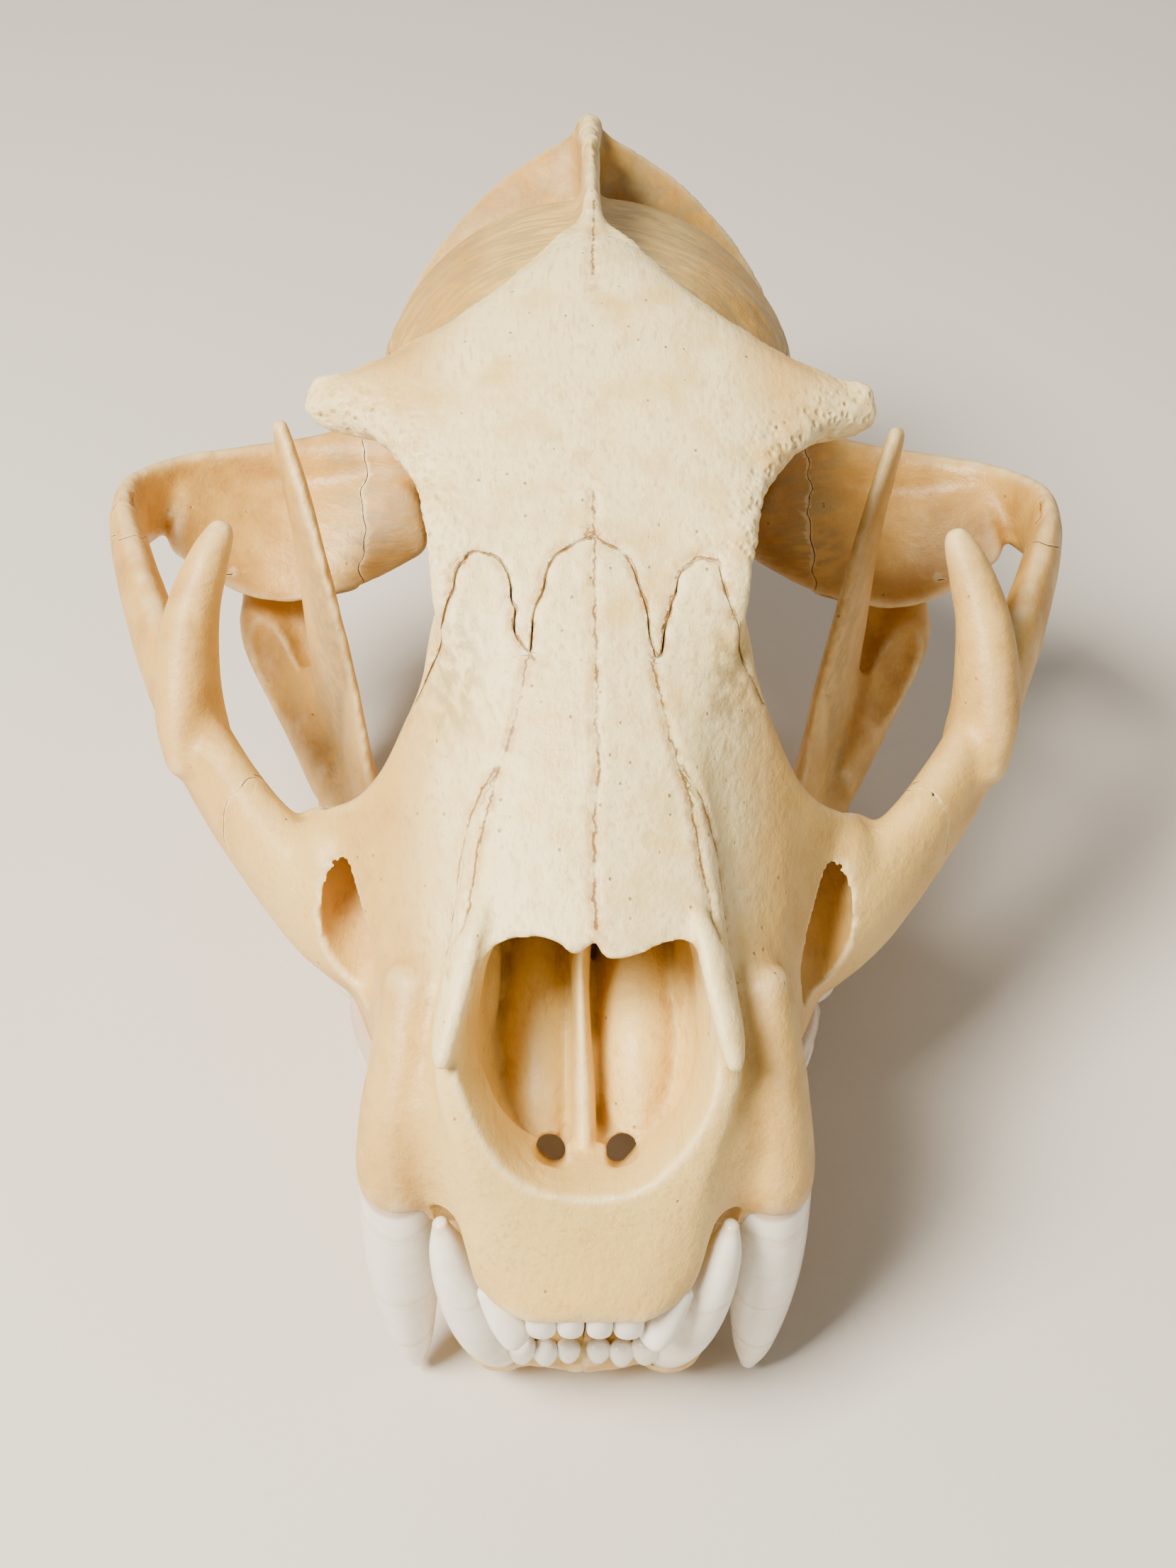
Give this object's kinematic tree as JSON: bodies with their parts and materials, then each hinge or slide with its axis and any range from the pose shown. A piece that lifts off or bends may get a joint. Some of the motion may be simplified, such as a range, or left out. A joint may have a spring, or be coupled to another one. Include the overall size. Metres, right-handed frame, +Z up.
{
  "type": "cougar skull",
  "caption": "Skull of a big cat with its lower jaw closed: long canines, open nose, wide cheek arches, broad forehead with hooked processes and a crested braincase",
  "frame": {"origin": "Centre of the overall box in X and Y, on the floor that the lower jaw stands on", "axes": "Y runs from the nose, at -Y, to the back of the skull; X is across the skull, its left side at +X; Z is up"},
  "size_m": [0.1521, 0.2084, 0.1113],
  "materials": {
    "bone_pale": "dry, bleached bone, close to matte with a faint sheen on the smooth faces",
    "bone_warm": "dry bone with some warm staining, matte",
    "bone_tan": "dry tan bone, matte, a little greasy on the arch",
    "enamel": "smooth tooth enamel, low gloss"
  },
  "bodies": {
    "root": {"snout": "bone_pale", "forehead": "bone_pale", "braincase": "bone_warm", "occiput": "bone_warm", "temporal_left": "bone_tan", "temporal_right": "bone_tan", "cheekbone_left": "bone_warm", "cheekbone_right": "bone_warm", "jaw_left": "bone_warm", "jaw_right": "bone_warm", "upper_canine_left": "enamel", "upper_canine_right": "enamel", "lower_canine_left": "enamel", "lower_canine_right": "enamel"}
  },
  "joints": []
}
